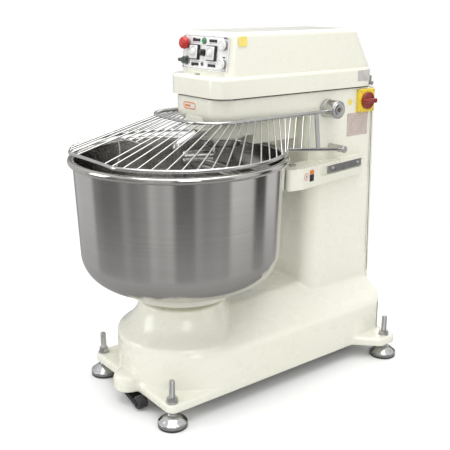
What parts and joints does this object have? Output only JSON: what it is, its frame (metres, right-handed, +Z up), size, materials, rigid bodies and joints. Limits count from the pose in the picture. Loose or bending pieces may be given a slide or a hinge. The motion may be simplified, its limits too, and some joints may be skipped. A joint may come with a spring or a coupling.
{
  "type": "spiral dough mixer",
  "caption": "Floor-standing spiral dough mixer: turning steel bowl, spiral hook and breaker bar under a hooded drive head, with a wire guard that lifts.",
  "frame": {"origin": "on the floor under the middle of the machine, midway between bowl rim and rear in length and between the sides in width", "axes": "+Z up, -Y towards the operator at the bowl, +X to the side with the main switch"},
  "size_m": [0.7219, 1.1465, 1.209],
  "materials": {
    "cream_paint": "semi gloss enamel",
    "panel_plate": "satin plate",
    "bowl_steel": "turned and brushed stainless",
    "tool_steel": "polished stainless",
    "guard_steel": "polished stainless rod",
    "guide_steel": "machined steel",
    "zinc_steel": "zinc plated",
    "foot_chrome": "polished",
    "pad_rubber": "matt",
    "wheel_rubber": "matt",
    "belt_rubber": "matt",
    "black_plastic": "matt",
    "grey_plastic": "matt",
    "white_plastic": "gloss",
    "red_plastic": "gloss",
    "green_plastic": "gloss",
    "yellow_plastic": "satin",
    "plate_aluminium": "anodised",
    "motor_iron": "painted dark",
    "pulley_iron": "machined",
    "bearing_steel": "ground",
    "roller_plastic": "satin"
  },
  "bodies": {
    "frame": {"base_casting": "cream_paint", "column_casting": "cream_paint", "rear_panel": "cream_paint", "hood_hinge_brackets": "zinc_steel", "main_switch_plate": "yellow_plastic", "rating_plates": "plate_aluminium", "guard_pins": "bearing_steel", "stop_posts": "tool_steel", "bowl_guide_arms": "cream_paint", "adjusting_bars": "guide_steel", "guide_pins": "tool_steel", "bowl_bearing_housing": "cream_paint", "shaft_bearings": "bearing_steel", "drive_belts": "belt_rubber", "drive_motors": "motor_iron", "spindle_housing": "cream_paint", "breaker_bar": "tool_steel", "breaker_bracket": "cream_paint", "foot_pads": "pad_rubber", "foot_cups": "foot_chrome", "foot_studs": "zinc_steel", "foot_nuts": "zinc_steel", "rear_wheel_brackets": "zinc_steel", "cable_gland": "black_plastic"},
    "bowl": {"bowl_shell": "bowl_steel", "bowl_flange": "cream_paint", "bowl_shaft": "bearing_steel", "bowl_pulley": "pulley_iron"},
    "spiral": {"spiral_hook": "tool_steel", "spiral_shaft": "bearing_steel", "spiral_pulley": "pulley_iron"},
    "bowl_drive": {"bowl_motor_rotor": "pulley_iron"},
    "spiral_drive": {"spiral_motor_rotor": "pulley_iron"},
    "hood": {"hood_shell": "cream_paint", "hood_hinge_leaves": "zinc_steel", "control_plate": "panel_plate", "panel_screws": "tool_steel", "pilot_lamp": "black_plastic", "timer_cases": "black_plastic", "button_collars": "grey_plastic"},
    "hood_lock": {"hood_lock_screw": "tool_steel"},
    "timer_left": {"timer_knob_left": "white_plastic"},
    "timer_right": {"timer_knob_right": "white_plastic"},
    "speed": {"speed_knob": "black_plastic"},
    "stop_button": {"emergency_stop": "red_plastic"},
    "start": {"start_button": "green_plastic"},
    "jog_upper": {"jog_button_upper": "white_plastic"},
    "jog_lower": {"jog_button_lower": "white_plastic"},
    "lever": {"direction_lever": "black_plastic"},
    "main_switch": {"main_switch_knob": "red_plastic"},
    "guard": {"guard_ring": "guard_steel", "guard_frame": "guard_steel", "guard_lower_arms": "guard_steel", "guard_rods": "guard_steel", "guard_hubs": "tool_steel"},
    "roller_right": {"guide_roller_right": "roller_plastic"},
    "roller_left": {"guide_roller_left": "roller_plastic"},
    "front_caster": {"front_caster_fork": "black_plastic"},
    "front_wheel": {"front_caster_wheel": "wheel_rubber"},
    "rear_axle": {"rear_wheels": "wheel_rubber"}
  },
  "joints": [
    {"name": "bowl_spin", "type": "hinge", "parent": "frame", "child": "bowl", "pos_m": [0, -0.212, 0.4], "axis": [0, 0, 1], "continuous": true},
    {"name": "spiral_spin", "type": "hinge", "parent": "frame", "child": "spiral", "pos_m": [0, -0.036, 0.8], "axis": [0, 0, 1], "continuous": true},
    {"name": "bowl_motor_spin", "type": "hinge", "parent": "frame", "child": "bowl_drive", "pos_m": [0, 0.398, 0.17], "axis": [0, 0, 1], "continuous": true},
    {"name": "spiral_motor_spin", "type": "hinge", "parent": "frame", "child": "spiral_drive", "pos_m": [0, 0.398, 1.03], "axis": [0, 0, 1], "continuous": true},
    {"name": "guard_lift", "type": "hinge", "parent": "frame", "child": "guard", "pos_m": [0, 0.311, 0.944], "axis": [-1, 0, 0], "range_deg": [0, 60]},
    {"name": "hood_lift", "type": "hinge", "parent": "frame", "child": "hood", "pos_m": [0, 0.566, 1.012], "axis": [-1, 0, 0], "range_deg": [0, 55]},
    {"name": "timer_left_turn", "type": "hinge", "parent": "hood", "child": "timer_left", "pos_m": [-0.049, -0.108, 1.142], "axis": [0, -0.9942, 0.108], "range_deg": [-270, 0]},
    {"name": "timer_right_turn", "type": "hinge", "parent": "hood", "child": "timer_right", "pos_m": [0.042, -0.108, 1.142], "axis": [0, -0.9942, 0.108], "range_deg": [-270, 0]},
    {"name": "speed_turn", "type": "hinge", "parent": "hood", "child": "speed", "pos_m": [-0.004, -0.108, 1.142], "axis": [0, -0.9942, 0.108], "range_deg": [-90, 0]},
    {"name": "lever_turn", "type": "hinge", "parent": "hood", "child": "lever", "pos_m": [-0.095, -0.11113, 1.11317], "axis": [0, -0.9942, 0.108], "range_deg": [-45, 45]},
    {"name": "stop_press", "type": "slide", "parent": "hood", "child": "stop_button", "axis": [0, 0.9942, -0.108], "range_m": [0, 0.006], "stiffness_N_per_m": 2000, "springref_m": -0.002},
    {"name": "start_press", "type": "slide", "parent": "hood", "child": "start", "axis": [0, 0.9942, -0.108], "range_m": [0, 0.003], "stiffness_N_per_m": 1333.3, "springref_m": -0.002},
    {"name": "jog_upper_press", "type": "slide", "parent": "hood", "child": "jog_upper", "axis": [0, 0.9942, -0.108], "range_m": [0, 0.003], "stiffness_N_per_m": 1333.3, "springref_m": -0.002},
    {"name": "jog_lower_press", "type": "slide", "parent": "hood", "child": "jog_lower", "axis": [0, 0.9942, -0.108], "range_m": [0, 0.003], "stiffness_N_per_m": 1333.3, "springref_m": -0.002},
    {"name": "main_switch_turn", "type": "hinge", "parent": "frame", "child": "main_switch", "pos_m": [0.14, 0.503, 0.957], "axis": [1, 0, 0], "range_deg": [0, 90]},
    {"name": "roller_right_spin", "type": "hinge", "parent": "frame", "child": "roller_right", "pos_m": [0.164, 0.138, 0.728], "axis": [0, 0, 1], "continuous": true},
    {"name": "roller_left_spin", "type": "hinge", "parent": "frame", "child": "roller_left", "pos_m": [-0.164, 0.138, 0.728], "axis": [0, 0, 1], "continuous": true},
    {"name": "caster_swivel", "type": "hinge", "parent": "frame", "child": "front_caster", "pos_m": [0.004, -0.436, 0.06], "axis": [0, 0, 1], "continuous": true},
    {"name": "front_wheel_spin", "type": "hinge", "parent": "front_caster", "child": "front_wheel", "pos_m": [0.074, -0.436, 0.027], "axis": [0, 1, 0], "continuous": true},
    {"name": "rear_axle_spin", "type": "hinge", "parent": "frame", "child": "rear_axle", "pos_m": [0, 0.428, 0.027], "axis": [1, 0, 0], "continuous": true},
    {"name": "hood_lock_turn", "type": "hinge", "parent": "hood", "child": "hood_lock", "pos_m": [0, -0.138, 1.075], "axis": [0, 0, 1], "range_deg": [0, 90]}
  ],
  "couplings": [
    {"joint": "bowl_motor_spin", "follows": "bowl_spin", "ratio": 4.3684},
    {"joint": "spiral_motor_spin", "follows": "spiral_spin", "ratio": 2.9474},
    {"joint": "roller_right_spin", "follows": "bowl_spin", "ratio": -7.9491},
    {"joint": "roller_left_spin", "follows": "bowl_spin", "ratio": -7.9491}
  ]
}
